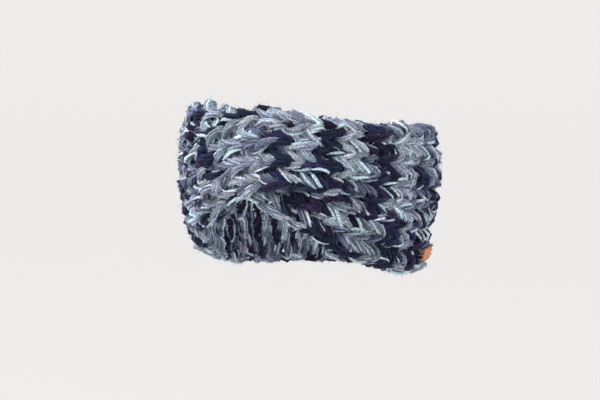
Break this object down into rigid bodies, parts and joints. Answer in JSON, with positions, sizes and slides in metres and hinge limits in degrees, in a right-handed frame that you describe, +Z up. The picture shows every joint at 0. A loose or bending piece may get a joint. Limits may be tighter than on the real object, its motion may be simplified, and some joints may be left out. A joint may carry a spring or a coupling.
{
  "type": "knitted ear warmer headband",
  "caption": "Thick marled knit ear warmer headband with a crossed front and a small blank leather label, open at the top to go round the head.",
  "frame": {"origin": "middle of the head that the band goes round, about half way down the band's sides", "axes": "+Z up as worn, the crossed front towards -Y, the wearer's left towards +X"},
  "size_m": [0.1752, 0.2258, 0.1278],
  "materials": {
    "wool": "thick marled wool in navy, slate and ice blue, matt and hairy",
    "leather": "smooth tan, low sheen"
  },
  "bodies": {
    "root": {"knitted_band": "wool", "leather_label": "leather"}
  },
  "joints": []
}
